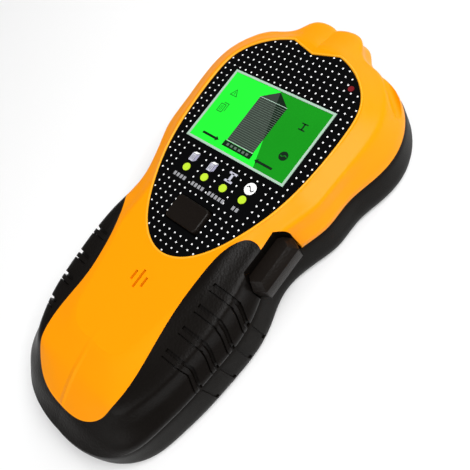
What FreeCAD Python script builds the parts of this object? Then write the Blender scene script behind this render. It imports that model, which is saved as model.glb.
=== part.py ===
import FreeCAD, Part
import math
import os
import re
import Sketcher
from FreeCAD import Placement, Rotation, Vector

# Hand-held stud finder, lying on its back. Millimetres, +Z out of the display face.
# Origin: on the flat back, in the middle of the case. +Y points to the sensing nose,
# -Y to the end of the handle, +X is the side of the scan button.

doc = FreeCAD.newDocument("stud_finder")
sheet = doc.addObject("Spreadsheet::Sheet", "Sizes")

SIZES = {
    # case
    "case_length": 165.0, "head_width": 80.6, "waist_width": 61.4, "grip_width": 70.0,
    "case_height": 30.0, "seam_height": 16.0, "wall": 2.4, "rubber": 1.2, "seam_gap": 0.1,
    # display face
    "label_thick": 0.4, "label_sink": 0.3, "label_gap": 0.15,
    "window_width": 41.4, "window_depth": 27.2, "bezel": 0.8, "bezel_thick": 1.5,
    "window_thick": 1.0, "part_gap": 0.1, "display_centre": 36.75,
    # liquid crystal display
    "glass_width": 48.0, "glass_depth": 34.5, "glass_thick": 2.2, "gasket_thick": 0.5,
    "guide_thick": 2.6, "holder_wall": 1.2, "strip_depth": 2.2,
    # boards
    "board_thick": 1.6, "board_level": 15.0, "board_width": 46.6, "board_top": 66.0,
    "board_bottom": -7.4, "sensor_level": 3.2, "sensor_width": 43.0, "sensor_depth": 58.0,
    "sensor_centre": 36.0, "plate_thick": 0.3,
    # buttons and switches
    "mode_width": 14.0, "mode_depth": 8.8, "mode_rise": 1.3, "mode_centre": -0.45,
    "button_gap": 0.3, "flange": 1.0, "flange_thick": 1.2, "press_travel": 0.5,
    "switch_side": 6.0, "switch_tall": 3.6, "plunger_radius": 1.7, "plunger_gap": 0.06,
    "plunger_out": 1.1, "plunger_in": 0.8,
    "scan_low": 16.3, "scan_high": 24.8, "scan_face": 34.8, "scan_inner": 28.0,
    "scan_head_end": 12.0, "scan_grip_end": -8.2, "scan_gap": 0.35, "scan_bevel": 1.2,
    "scan_slope": 2.4, "scan_corner": 3.0, "scan_slant": 2.1, "scan_neck_in": 24.2,
    "scan_stem_in": 20.9, "scan_switch_face": 19.8,
    # lamps and sounder
    "lamp_radius": 1.4, "lamp_row": 12.55, "lamp_pitch": 8.46,
    "alert_along": 60.65, "alert_across": 20.0, "alert_radius": 1.0,
    "sounder_radius": 10.0, "sounder_thick": 3.2, "sounder_along": -25.75,
    "slot_width": 0.9, "slot_pitch": 2.4, "slot_long": 6.6, "slot_short": 3.4,
    # battery and its door
    "cell_width": 26.5, "cell_thick": 17.5, "cell_length": 48.5, "cell_end": -62.0,
    "cell_level": 2.6, "cell_gap": 0.4, "stud_radius": 2.8, "stud_rise": 2.6,
    "snap_thick": 5.2, "snap_tall": 13.0, "rib_wall": 1.4,
    "door_width": 31.0, "door_head_end": -7.6, "door_hinge_end": -69.8,
    "door_thick": 1.7, "door_sink": 0.3, "door_gap": 0.3, "tab_width": 6.0, "tab_out": 2.2,
    "pad_thick": 0.5,
    # fasteners
    "boss_radius": 3.2, "screw_radius": 1.3, "screw_head_radius": 2.5, "screw_head_tall": 1.8,
    "screw_length": 16.0, "screw_gap": 0.05, "screw_sink": 5.0, "head_screw_across": 25.2,
    "head_screw_along": 60.5, "tail_screw_across": 21.5, "tail_screw_along": -46.0,
    "head_boss_top": 28.0, "tail_boss_top": 25.2, "top_post_across": 13.0,
    "top_post_along": 62.6, "low_post_across": 19.5, "low_post_along": -4.0,
    "top_post_top": 28.1, "low_post_top": 27.3,
    "post_radius": 2.4, "small_screw_radius": 1.0, "small_screw_length": 6.0,
    # leads and detection coil
    "lead_radius": 0.6, "lead_across": 6.0, "coil_radius": 15.0, "coil_thick": 2.0,
    "coil_centre": 36.0,
    # grip ribs
    "groove_wide": 1.2, "groove_deep": 0.8, "slit_wide": 0.45, "slit_step": 2.3,
    "rib_start": 22.4, "rib_bend": 30.0, "foot_groove_deep": 0.5, "foot_groove_step": 3.3,
    # hollows in the corners of the head
    "scoop_across": 28.6, "scoop_along": 69.0, "scoop_level": 23.0, "scoop_long": 13.5,
    "scoop_deep": 2.8, "scoop_tall": 4.6,
}
for row, (alias, number) in enumerate(SIZES.items(), start=1):
    sheet.set("A%d" % row, alias)
    sheet.set("B%d" % row, str(number))
    sheet.setAlias("B%d" % row, alias)
doc.recompute()


def read(alias):
    """One cell of the sheet, as a number."""
    return float(sheet.get(alias))


def bound(formula):
    """A formula in the sheet's words, as an expression that names its cells."""
    return re.sub(r"[a-z][a-z_]+", lambda word: "Sizes." + word.group(), formula)


def bind(item, **formulas):
    for name, formula in formulas.items():
        item.setExpression(name, bound(formula))
    return item


def place(item, x="0", y="0", z="0"):
    """Put an item's own origin at x, y, z, each a formula."""
    for axis, formula in zip("xyz", (x, y, z)):
        item.setExpression("Placement.Base." + axis, bound(formula))
    return item


def block(name, across, along, tall, x="0", y="0", z="0"):
    """A box centred on x and y, standing on z."""
    item = bind(doc.addObject("Part::Box", name), Length=across, Width=along, Height=tall)
    return place(item, "(%s) - (%s) / 2" % (x, across), "(%s) - (%s) / 2" % (y, along), z)


def rod(name, radius, tall, x="0", y="0", z="0", turn=None):
    """A cylinder that stands on x, y, z, or is turned about that point."""
    item = bind(doc.addObject("Part::Cylinder", name), Radius=radius, Height=tall)
    if turn:
        item.Placement = Placement(Vector(), turn)
    return place(item, x, y, z)


TO_RIGHT = Rotation(Vector(0, 1, 0), 90)
TO_NOSE = Rotation(Vector(1, 0, 0), -90)


def fuse(name, *pieces):
    item = doc.addObject("Part::MultiFuse", name)
    item.Shapes = list(pieces)
    return item


def cut(name, base, *tools):
    item = doc.addObject("Part::Cut", name)
    item.Base = base
    item.Tool = tools[0] if len(tools) == 1 else fuse(name + "_tools", *tools)
    return item


def common(name, one, other):
    item = doc.addObject("Part::Common", name)
    item.Base = one
    item.Tool = other
    return item


def group(name, *pieces):
    """Separate solids of one kind, kept as one node."""
    item = doc.addObject("Part::Compound", name)
    item.Links = list(pieces)
    return item


def outline(name, edges):
    item = doc.addObject("Part::Feature", name)
    item.Shape = Part.Wire(edges)
    return item


def prism(name, base, z, tall):
    """An outline raised into a solid between two levels."""
    item = doc.addObject("Part::Extrusion", name)
    item.Base = base
    item.DirMode = "Custom"
    item.Dir = Vector(0, 0, 1)
    item.Solid = True
    bind(item, LengthFwd=tall)
    return place(item, z=z)


def curve(points, shares=None):
    """A smooth open edge through points."""
    spline = Part.BSplineCurve()
    if shares:
        spline.interpolate(Points=points, Parameters=shares)
    else:
        spline.interpolate(Points=points)
    return spline.toShape()


def mirrored(edge):
    return edge.mirror(Vector(), Vector(1, 0, 0))


# ---------------------------------------------------------------- case outline
# Right half of the case seen from the front, from the nose to the end of the handle.
# along: share of half the length. across: share of the half width of that zone.
# face, rim, seam: how far inside this outline the flat face, the foot of the chamfer
# and the parting line lie.
HEAD, WAIST, GRIP = "head_width", "waist_width", "grip_width"
STATIONS = [
    # along, across, zone, face, rim, seam
    (0.985, 0.000, HEAD, 12.0, 1.6, 0.8),
    (1.000, 0.131, HEAD, 12.4, 1.6, 0.8),
    (0.985, 0.263, HEAD, 11.8, 1.8, 0.8),
    (0.945, 0.355, HEAD, 9.2, 2.8, 0.9),
    (0.905, 0.578, HEAD, 10.0, 3.8, 1.0),
    (0.860, 0.759, HEAD, 11.4, 5.0, 1.0),
    (0.762, 0.926, HEAD, 11.8, 5.7, 1.0),
    (0.646, 1.000, HEAD, 11.7, 5.9, 1.0),
    (0.530, 0.984, HEAD, 10.7, 5.0, 1.0),
    (0.390, 0.914, HEAD, 8.6, 2.8, 1.0),
    (0.268, 0.902, HEAD, 9.3, 3.1, 1.0),
    (0.190, 0.858, HEAD, 10.0, 3.3, 1.0),
    (0.110, 1.050, WAIST, 9.8, 3.2, 1.0),
    (0.030, 1.003, WAIST, 10.6, 3.2, 1.0),
    (-0.050, 1.015, WAIST, 12.0, 3.2, 1.0),
    (-0.130, 0.945, GRIP, 14.0, 4.0, 1.0),
    (-0.210, 0.988, GRIP, 16.4, 5.0, 1.0),
    (-0.300, 1.000, GRIP, 18.0, 5.4, 1.0),
    (-0.415, 0.983, GRIP, 19.0, 5.4, 1.0),
    (-0.561, 0.945, GRIP, 20.0, 5.6, 0.8),
    (-0.695, 0.885, GRIP, 22.5, 7.2, 0.5),
    (-0.829, 0.785, GRIP, 27.5, 11.0, 0.4),
    (-0.922, 0.600, GRIP, 31.0, 16.4, 1.0),
    (-0.980, 0.325, GRIP, 32.6, 19.4, 2.0),
    (-0.995, 0.000, GRIP, 33.2, 20.4, 2.4),
]
half_length = read("case_length") / 2
CHEST = Vector(0, 40, 0)
TAIL = Vector(0, -40, 0)
NOSE_START = 0.93
ring = [Vector(across * read(zone) / 2, along * half_length, 0)
        for along, across, zone, face, rim, seam in STATIONS]


def outward(index):
    """Direction out of the case at one station: square to the outline, but fanned out
    from one point round the nose and round the end of the handle."""
    if ring[index].y > NOSE_START * half_length:
        return (ring[index] - CHEST).normalize()
    if ring[index].y < TAIL.y:
        return (ring[index] - TAIL).normalize()
    run = ring[index + 1] - ring[index - 1]
    return Vector(-run.y, run.x, 0).normalize()


reach = [0.0]
for start, end in zip(ring, ring[1:]):
    reach.append(reach[-1] + (end - start).Length)
ring_shares = [distance / reach[-1] for distance in reach]


def section(name, level, inset, extra=0.0):
    """The outline at one level; inset(face, rim, seam) gives its distance inside."""
    points = []
    for index, (point, station) in enumerate(zip(ring, STATIONS)):
        inner = point - outward(index) * (inset(*station[3:]) + extra)
        points.append(Vector(max(inner.x, 0), inner.y, level))
    points[0].x = points[-1].x = 0
    half = curve(points, ring_shares)
    return outline(name, [half, mirrored(half)])


def loft(name, sections):
    item = doc.addObject("Part::Loft", name)
    item.Sections = sections
    item.Solid = True
    item.Ruled = False
    return item


# Levels of the upper case: share of the height above the seam, then how the inset
# blends from the face to the rim and from the rim to the seam.
UPPER_LEVELS = [
    (1.00, 1.00, 1.00), (0.95, 0.74, 1.00), (0.87, 0.38, 1.00), (0.77, 0.00, 1.00),
    (0.66, 0.00, 0.80), (0.36, 0.00, 0.38), (0.00, 0.00, 0.00),
]
# Levels of the lower case: share of the seam height, share of the seam inset, and the
# inset of the rounded foot.
LOWER_LEVELS = [
    (1.00, 1.00, 0.0), (0.75, 0.40, 0.0), (0.50, 0.08, 0.0), (0.25, 0.00, 0.0),
    (0.08, 0.00, 0.9), (0.00, 0.00, 2.8),
]
seam_height = read("seam_height")
upper_height = read("case_height") - seam_height


def upper_form(name, skin=0.0):
    """The closed upper outside, or its inside at a distance under the skin."""
    sections = []
    for number, (level, facing, rimmed) in enumerate(UPPER_LEVELS):
        z = seam_height + level * upper_height - (skin if level > 0 else 0)
        sections.append(section(
            "%s_%d" % (name, number), z,
            lambda face, rim, seam: seam + (rim - seam) * rimmed + (face - rim) * facing,
            skin))
    return loft(name, sections)


def lower_form(name, skin=0.0):
    sections = []
    for number, (level, seamed, foot) in enumerate(LOWER_LEVELS):
        z = level * seam_height + (skin if level < 1 else 0)
        sections.append(section(
            "%s_%d" % (name, number), z,
            lambda face, rim, seam: seam * seamed + foot, skin))
    return loft(name, sections)


# ---------------------------------------------------------------- plan outlines
display_y = read("display_centre")


def label_outline(name, gap=0.0):
    """The label: broad over the display, narrow round the mode button, notched top."""
    right = [(9.5, 32.6), (15.3, 30.4), (21.3, 26.3), (26.3, 19.6), (28.0, 9.0),
             (27.4, -6.0), (24.6, -21.8), (19.6, -34.6), (13.4, -44.5), (6.0, -50.4),
             (0.0, -51.8)]
    edges = [Part.makeLine(Vector(0, 30.0 + gap + display_y, 0),
                           Vector(right[0][0], right[0][1] + gap + display_y, 0))]
    points = [Vector(x + gap * (x > 0) * (x > right[0][0]), y + display_y, 0)
              for x, y in right]
    points[0].y += gap
    points[-1].y -= gap
    edges.append(curve(points))
    edges += [mirrored(edge) for edge in edges]
    return outline(name, Part.__sortEdges__(edges))


# Edge of the orange plastic, from the right side of the waist down the handle, round the
# tip of the tongue and up to the left side. Its grip starts lower on the left, where no
# button sits. The orange lies inside this edge and above it.
far = 60.0
ORANGE_EDGE = [
    (28.6, 0.6), (26.4, 3.4), (23.6, 3.6), (20.6, 0.6), (18.4, -5.0), (17.5, -14.0),
    (17.7, -28.0), (18.8, -40.0), (19.6, -50.0), (19.2, -57.5), (16.8, -64.8),
    (11.0, -70.1), (0.0, -72.2), (-11.0, -70.1), (-16.8, -64.8), (-19.2, -57.5),
    (-19.6, -50.0), (-18.8, -42.0), (-18.2, -34.0), (-19.2, -26.0), (-21.2, -17.9),
    (-24.2, -11.6), (-27.6, -6.6), (-31.0, -3.0)]
edge_line = [Vector(x, y, 0) for x, y in ORANGE_EDGE]
head_corners = [Vector(-far, 20, 0), Vector(far, 20, 0)]
orange_plan = outline("orange_plan", [
    curve(edge_line), Part.makeLine(edge_line[-1], head_corners[0]),
    Part.makeLine(*head_corners), Part.makeLine(head_corners[1], edge_line[0])])
orange_prism = prism("orange_prism", orange_plan, "0", "case_height * 2")

# ---------------------------------------------------------------- scan button pocket
scan_in, scan_out = read("scan_inner"), read("scan_face")
scan_top, scan_end = read("scan_head_end"), read("scan_grip_end")
scan_corner, scan_slant = read("scan_corner"), read("scan_slant")
travel = read("press_travel")


def scan_outline(name, gap, out):
    """Six-sided pad in plan; the gap widens it for the pocket that it is pressed into."""
    low, high, back = scan_end - gap, scan_top + gap, scan_in - (travel if gap else 0)
    points = [Vector(*spot, 0) for spot in (
        (back - gap, low + scan_corner), (back + scan_corner, low), (out, low + scan_slant),
        (out, high - scan_slant), (back + scan_corner, high), (back - gap, high - scan_corner))]
    return outline(name, Part.makePolygon(points + points[:1]).Edges)


scan_pocket = prism("scan_pocket",
                    scan_outline("scan_pocket_plan", read("scan_gap"), far),
                    "seam_height - 1", "case_height")

scan_window = block("scan_window", "8", "8", "4.2", "scan_inner - 2",
                    "(scan_head_end + scan_grip_end) / 2", "seam_height + 0.4")

# ---------------------------------------------------------------- upper case
upper_outside = upper_form("upper_outside")
upper_inside = upper_form("upper_inside", read("wall"))
grip_inside = upper_form("grip_inside", read("rubber"))

grip_block = block("grip_block", "grip_width * 2", "case_length", "case_height",
                   y="12 - case_length / 2", z="seam_height - 1")
grip_space = cut("grip_space", grip_block, orange_prism, grip_inside)
grip_blank = common("grip_blank", upper_outside, grip_space)

# Ribs: each starts as a groove and a thin slit straight across the shoulder of the grip,
# and leans back from the bend outwards. The left ones stand lower and wider apart.
RIBS = {1: [-13.6, -21.2, -29.0, -37.1], -1: [-21.0, -30.9, -39.6, -48.6]}
RIB_LEAN = 42.0


def rib_slabs(name, wide, shift):
    """Upright slabs across the grip, two for each rib: up to the bend and beyond it."""
    slabs = []
    for side, places in RIBS.items():
        for number, along in enumerate(places):
            label = "%s_%s_%d" % (name, "right" if side > 0 else "left", number)
            slabs.append(block(label, "rib_bend - rib_start + 0.4", wide, "case_height",
                               "%d * (rib_start + rib_bend + 0.4) / 2" % side,
                               "%s - %s" % (along, shift)))
            turn = Rotation(Vector(0, 0, 1), -RIB_LEAN if side > 0 else 180 + RIB_LEAN)
            leaning = bind(doc.addObject("Part::Box", label + "_leaning"),
                           Length="grip_width / 5", Width=wide, Height="case_height")
            aside = turn.multVec(Vector(0, -read(wide) / 2, 0))
            leaning.Placement = Placement(Vector(), turn)
            slabs.append(place(leaning, "%d * rib_bend + %s" % (side, aside.x),
                               "%s - %s + %s" % (along, shift, aside.y)))
    return slabs


grip_grooves = cut("grip_grooves", fuse(
    "grip_groove_slabs", *rib_slabs("groove", "groove_wide", "0"),
    *rib_slabs("slit", "slit_wide", "slit_step")),
    upper_form("groove_floor", read("groove_deep")))
grip_notched = cut("grip_notched", grip_blank, scan_pocket, scan_window)
grip_surround = cut("grip_surround", grip_notched, grip_grooves)

label_plan = label_outline("label_plan")
label_bed_plan = label_outline("label_bed_plan", read("label_gap"))
label_bed = prism("label_bed", label_bed_plan,
                  "case_height - label_sink - label_thick", "case_height")
window_hole = block("window_hole", "window_width + 2 * bezel + 2 * part_gap",
                    "window_depth + 2 * bezel + 2 * part_gap", "case_height",
                    y="display_centre", z="seam_height")
mode_hole = block("mode_hole", "mode_width + 2 * button_gap", "mode_depth + 2 * button_gap",
                  "case_height", y="mode_centre", z="seam_height")
LAMPS = [-1.5, -0.5, 0.5, 1.5]
lamp_holes = [rod("lamp_hole_%d" % number, "lamp_radius + part_gap", "case_height",
                  "lamp_pitch * %s" % step, "lamp_row", "seam_height")
              for number, step in enumerate(LAMPS)]
alert_hole = rod("alert_hole", "alert_radius + part_gap", "case_height",
                 "alert_across", "alert_along", "seam_height")
slots = [block("slot_%d" % (step + 1), "slot_width", "slot_short" if step else "slot_long",
               "case_height", "slot_pitch * %d" % step, "sounder_along", "seam_height")
         for step in (-1, 0, 1)]

screw_places = [(side * read(across), read(along)) for across, along in (
    ("head_screw_across", "head_screw_along"), ("tail_screw_across", "tail_screw_along"))
    for side in (-1, 1)]
post_places = [(side * read(across), read(along)) for across, along in (
    ("top_post_across", "top_post_along"), ("low_post_across", "low_post_along"))
    for side in (-1, 1)]
boss_tops = [read("head_boss_top")] * 2 + [read("tail_boss_top")] * 2
post_tops = [read("top_post_top")] * 2 + [read("low_post_top")] * 2


def at(places, maker):
    """One piece at each of the places, as a list."""
    return [maker(number, "%s" % x, "%s" % y) for number, (x, y) in enumerate(places)]


upper_bosses = at(screw_places, lambda n, x, y: rod(
    "upper_boss_%d" % n, "boss_radius", "%s - seam_height - seam_gap" % boss_tops[n],
    x, y, "seam_height + seam_gap"))
posts = at(post_places, lambda n, x, y: rod(
    "post_%d" % n, "post_radius", "%s - board_level - board_thick" % post_tops[n],
    x, y, "board_level + board_thick"))
upper_cores = at(screw_places, lambda n, x, y: rod(
    "upper_core_%d" % n, "screw_radius + screw_gap", "screw_sink + screw_length + 0.5",
    x, y, "0"))
post_cores = at(post_places, lambda n, x, y: rod(
    "post_core_%d" % n, "small_screw_radius + screw_gap", "small_screw_length + 0.5",
    x, y, "board_level - 0.2"))
sounder_ring = cut("sounder_ring", rod("sounder_wall", "sounder_radius + 1.4", "4.2",
                                       "0", "sounder_along", "case_height - wall - 3.4"),
                   rod("sounder_seat", "sounder_radius + part_gap", "case_height",
                       "0", "sounder_along", "0"))

upper_hollow = cut("upper_hollow", cut("upper_core", upper_outside, grip_space), upper_inside)
upper_solid = fuse("upper_solid", upper_hollow, sounder_ring, *(upper_bosses + posts))


def scoop(name, side):
    """A leaf-shaped hollow sunk in the corner of the head."""
    item = bind(doc.addObject("Part::Ellipsoid", name), Radius1="scoop_tall",
                Radius2="scoop_long", Radius3="scoop_deep")
    item.Angle1, item.Angle2, item.Angle3 = -90, 90, 360
    item.Placement = Placement(Vector(), Rotation(Vector(0, 0, 1), side * -41))
    return place(item, "%d * scoop_across" % side, "scoop_along", "scoop_level")


scoops = [scoop("scoop_left", -1), scoop("scoop_right", 1)]
top_shell = cut("top_shell", upper_solid, label_bed, window_hole, mode_hole,
                alert_hole, scan_pocket, scan_window,
                *(lamp_holes + slots + upper_cores + post_cores + scoops))

# ---------------------------------------------------------------- lower case
lower_outside = lower_form("lower_outside")
lower_inside = lower_form("lower_inside", read("wall"))
lower_skin = cut("lower_skin", lower_outside, lower_inside)
lower_bosses = at(screw_places, lambda n, x, y: rod(
    "lower_boss_%d" % n, "boss_radius", "seam_height - wall / 2", x, y, "wall / 2"))
bay_outer = block("bay_outer", "cell_width + 2 * cell_gap + 2 * rib_wall",
                  "door_head_end - door_hinge_end + 2 * rib_wall - 2",
                  "seam_height - wall / 2 - 1",
                  y="(door_head_end + door_hinge_end) / 2 + 0.5", z="wall / 2")
bay_inner = block("bay_inner", "cell_width + 2 * cell_gap",
                  "door_head_end - door_hinge_end - 2", "case_height",
                  y="(door_head_end + door_hinge_end) / 2 + 0.5", z="0")
door_hole = block("door_hole", "door_width + 2 * door_gap",
                  "door_head_end - door_hinge_end + 2 * door_gap", "wall + 0.2",
                  y="(door_head_end + door_hinge_end) / 2", z="-0.1")
door_ledge = block("door_ledge", "cell_width + 2 * cell_gap",
                   "door_head_end - door_hinge_end + 2 * door_gap + 2 * tab_out",
                   "2.4", y="(door_head_end + door_hinge_end) / 2", z="wall")
sensor_posts = [rod("sensor_post_%d_%d" % (side > 0, along > 36), "post_radius",
                    "sensor_level - wall / 2", "%s" % (side * 18.0), "%s" % along,
                    "wall / 2")
                for side in (-1, 1) for along in (10.0, 62.0)]
lower_fill = fuse("lower_fill", lower_skin, bay_outer, *(lower_bosses + sensor_posts))
head_sinks = at(screw_places, lambda n, x, y: rod(
    "head_sink_%d" % n, "screw_head_radius + 0.3", "screw_sink", x, y, "0"))
lower_cores = at(screw_places, lambda n, x, y: rod(
    "lower_core_%d" % n, "screw_radius + screw_gap", "case_height", x, y, "0"))
lead_gap = block("lead_gap", "cell_width", "8", "seam_height", y="door_head_end",
                 z="wall + 1")
foot_grooves = cut("foot_grooves", fuse("foot_groove_slabs", *[
    block("foot_groove_%s_%d" % ("right" if side > 0 else "left", number), "grip_width / 4",
          "groove_wide", "seam_height - 5", "%d * grip_width / 2" % side,
          "%s - foot_groove_step" % along, "4")
    for side, places in RIBS.items() for number, along in enumerate(places)]),
    lower_form("foot_groove_floor", read("foot_groove_deep")))
bottom_shell = cut("bottom_shell", lower_fill, bay_inner, door_hole, door_ledge, lead_gap,
                   foot_grooves, *(head_sinks + lower_cores))


# ---------------------------------------------------------------- sketched pieces
def body_sketch(body, name, plane="XY_Plane"):
    sketch = body.newObject("Sketcher::SketchObject", name)
    origin_plane = [item for item in body.Origin.OriginFeatures if item.Role == plane][0]
    sketch.AttachmentSupport = [(origin_plane, "")]
    sketch.MapMode = "FlatFace"
    return sketch


def rectangle(sketch, name, width, depth):
    """A rectangle centred on the sketch's origin, its two sizes bound to the sheet."""
    first = sketch.GeometryCount
    x, y = 5.0, 4.0
    corners = [Vector(-x, -y, 0), Vector(x, -y, 0), Vector(x, y, 0), Vector(-x, y, 0)]
    for number in range(4):
        sketch.addGeometry(Part.LineSegment(corners[number], corners[(number + 1) % 4]), False)
    for number in range(4):
        sketch.addConstraint(Sketcher.Constraint(
            "Coincident", first + number, 2, first + (number + 1) % 4, 1))
    for number, kind in enumerate(("Horizontal", "Vertical") * 2):
        sketch.addConstraint(Sketcher.Constraint(kind, first + number))
    sketch.addConstraint(Sketcher.Constraint("Symmetric", first, 1, first + 1, 2, -1, 1))
    for label, kind, line, value, formula in (
            ("width", "DistanceX", first, 2 * x, width),
            ("depth", "DistanceY", first + 1, 2 * y, depth)):
        index = sketch.addConstraint(Sketcher.Constraint(kind, line, 1, line, 2, value))
        sketch.renameConstraint(index, name + "_" + label)
        sketch.setExpression("Constraints.%s_%s" % (name, label), bound(formula))


def circle(sketch, name, radius, x=0.0, y=0.0):
    index = sketch.addGeometry(Part.Circle(Vector(x, y, 0), Vector(0, 0, 1), 1.0), False)
    sketch.addConstraint(Sketcher.Constraint("DistanceX", -1, 1, index, 3, x))
    sketch.addConstraint(Sketcher.Constraint("DistanceY", -1, 1, index, 3, y))
    number = sketch.addConstraint(Sketcher.Constraint("Radius", index, 1.0))
    sketch.renameConstraint(number, name + "_radius")
    sketch.setExpression("Constraints.%s_radius" % name, bound(radius))


def pad(body, name, sketch, tall, start="0"):
    feature = body.newObject("PartDesign::Pad", name)
    feature.Profile = sketch
    bind(feature, Length=tall)
    sketch.setExpression("AttachmentOffset.Base.z", bound(start))
    return feature


def upright_edges(shape):
    return ["Edge%d" % (number + 1) for number, edge in enumerate(shape.Edges)
            if abs(edge.tangentAt(edge.FirstParameter).z) > 0.99]


def top_edges(shape):
    highest = shape.BoundBox.ZMax
    return ["Edge%d" % (number + 1) for number, edge in enumerate(shape.Edges)
            if edge.BoundBox.ZMin > highest - 0.01]


def frame_body(name, outer, inner, tall):
    """A rectangular ring or, with no inner size, a plate."""
    body = doc.addObject("PartDesign::Body", name)
    sketch = body_sketch(body, name + "_sketch")
    rectangle(sketch, "outer", *outer)
    if inner:
        rectangle(sketch, "inner", *inner)
    pad(body, name + "_pad", sketch, tall)
    return body


face_level = "case_height - label_sink"
display_bezel = place(frame_body(
    "display_bezel", ("window_width + 2 * bezel", "window_depth + 2 * bezel"),
    ("window_width", "window_depth"), "bezel_thick"),
    "0", "display_centre", face_level + " - bezel_thick + 0.15")
display_window = place(frame_body(
    "display_window", ("window_width - 2 * part_gap / 2", "window_depth - 2 * part_gap / 2"),
    None, "window_thick"), "0", "display_centre", face_level + " - window_thick - 0.05")
gasket_level = "case_height - wall - gasket_thick"
display_gasket = place(frame_body(
    "display_gasket", ("glass_width - 2", "glass_depth - 2"),
    ("window_width + 0.4", "window_depth + 0.4"), "gasket_thick - 0.05"),
    "0", "display_centre", gasket_level)
glass_level = gasket_level + " - glass_thick"
lcd_panel = place(frame_body("lcd_panel", ("glass_width", "glass_depth"), None,
                             "glass_thick"), "0", "display_centre", glass_level)
guide_level = glass_level + " - guide_thick"
backlight_guide = place(frame_body(
    "backlight_guide", ("glass_width - 1", "glass_depth - 2 * strip_depth - 2"), None,
    "guide_thick"), "0", "display_centre", guide_level)
board_face = "board_level + board_thick"
connector_strip = place(frame_body(
    "connector_strip", ("glass_width - 6", "strip_depth"), None,
    "(%s) - (%s)" % (glass_level, board_face)),
    "0", "display_centre - glass_depth / 2 + strip_depth / 2 + 0.2", board_face)
display_holder = cut("display_holder", place(frame_body(
    "holder_ring", ("glass_width + 2 * holder_wall + 0.2", "glass_depth + 2 * holder_wall + 0.2"),
    ("glass_width + 0.2", "glass_depth + 0.2"), "(%s) - (%s) + 1.2" % (glass_level, board_face)),
    "0", "display_centre", board_face),
    block("holder_window", "glass_width - 12", "glass_depth * 2", "3",
          y="display_centre", z="(%s) - 2" % glass_level))

# boards
main_board_body = doc.addObject("PartDesign::Body", "main_board_blank")
main_sketch = body_sketch(main_board_body, "main_board_sketch")
rectangle(main_sketch, "board", "board_width", "board_top - board_bottom")
pad(main_board_body, "main_board_pad", main_sketch, "board_thick")
place(main_board_body, "0", "(board_top + board_bottom) / 2", "board_level")
board_holes = at(post_places, lambda n, x, y: rod(
    "board_hole_%d" % n, "small_screw_radius + screw_gap", "board_thick * 3",
    x, y, "board_level - board_thick"))
boss_notches = at(screw_places[:2], lambda n, x, y: rod(
    "boss_notch_%d" % n, "boss_radius + 0.4", "board_thick * 3",
    x, y, "board_level - board_thick"))
main_board = cut("main_board", main_board_body, *(board_holes + boss_notches))
sensor_board = place(frame_body("sensor_board", ("sensor_width", "sensor_depth"), None,
                                "board_thick"), "0", "sensor_centre", "sensor_level")
sensor_face = "sensor_level + board_thick"
sensor_plates = group("sensor_plates", *[
    block("sensor_plate_%d" % number, "sensor_width - 8", "sensor_depth / 3 - 4",
          "plate_thick", y="sensor_centre + %d * sensor_depth / 3" % step, z=sensor_face)
    for number, step in enumerate((-1, 0, 1))])
detection_coil = cut("detection_coil", rod(
    "coil_outer", "coil_radius", "coil_thick", "0", "coil_centre",
    sensor_face + " + plate_thick + 0.1"),
    rod("coil_inner", "coil_radius - 3", "case_height", "0", "coil_centre", "0"))
board_header = group("board_header", *[
    block("header_pin_%d" % number, "0.64", "0.64", "board_level - (%s)" % sensor_face,
          "%.2f" % (-10.16 + 2.54 * number), "sensor_centre + sensor_depth / 2 - 1.2",
          sensor_face) for number in range(9)])
controller_chip = block("controller_chip", "10", "10", "1.5", "0", "display_centre",
                        "board_level - 1.5")
amplifier_chip = block("amplifier_chip", "5", "6", "1.4", "13", "display_centre + 14",
                       "board_level - 1.4")

# ---------------------------------------------------------------- lamps and sounder
lamp_level = "case_height - label_sink + 0.1"


def lamp(name, radius, x, y):
    """A round-nosed lamp on two stiff leads that stand in the main board."""
    lens = rod(name + "_lens", radius, "5.2", x, y, "(%s) - 5.2" % lamp_level)
    feet = [block("%s_lead_%d" % (name, side > 0), "0.5", "0.5",
                  "(%s) - 5.1 - (%s)" % (lamp_level, board_face),
                  "(%s) + %.1f" % (x, side * 0.6), y, board_face) for side in (-1, 1)]
    return fuse(name, lens, *feet)


mode_lamps = group("mode_lamps", *[
    lamp("mode_lamp_%d" % number, "lamp_radius", "lamp_pitch * %s" % step, "lamp_row")
    for number, step in enumerate(LAMPS)])
alert_lamp = lamp("alert_lamp", "alert_radius", "alert_across", "alert_along")
sounder_core = rod("sounder_core", "sounder_radius", "sounder_thick", "0", "sounder_along",
                   "case_height - wall - sounder_thick - 0.1")
sounder = cut("sounder", sounder_core, rod("sounder_port", "1.5", "1", "0",
                                           "sounder_along", "case_height - wall - 0.7"))

label_blank = prism("label_blank", label_plan, face_level + " - label_thick", "label_thick")
label_plate = cut("label_plate", label_blank, *[
    doc.copyObject(tool, False) for tool in [window_hole, mode_hole, alert_hole] + lamp_holes])

# ---------------------------------------------------------------- mode button
mode_button = doc.addObject("PartDesign::Body", "mode_button")
cap_sketch = body_sketch(mode_button, "cap_sketch")
rectangle(cap_sketch, "cap", "mode_width", "mode_depth")
cap_foot = "case_height - wall - 0.6 - flange_thick"
cap_pad = pad(mode_button, "cap_pad", cap_sketch,
              "case_height + mode_rise - (%s)" % cap_foot, cap_foot)
doc.recompute()
cap_round = mode_button.newObject("PartDesign::Fillet", "cap_round")
cap_round.Base = (cap_pad, upright_edges(cap_pad.Shape))
cap_round.Radius = 1.6
doc.recompute()
cap_crown = mode_button.newObject("PartDesign::Fillet", "cap_crown")
cap_crown.Base = (cap_round, top_edges(cap_round.Shape))
cap_crown.Radius = 0.8
mode_button.Tip = cap_crown
flange_sketch = body_sketch(mode_button, "flange_sketch")
rectangle(flange_sketch, "flange", "mode_width + 2 * flange", "mode_depth + 2 * flange")
flange_pad = pad(mode_button, "flange_pad", flange_sketch, "flange_thick", cap_foot)
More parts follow.
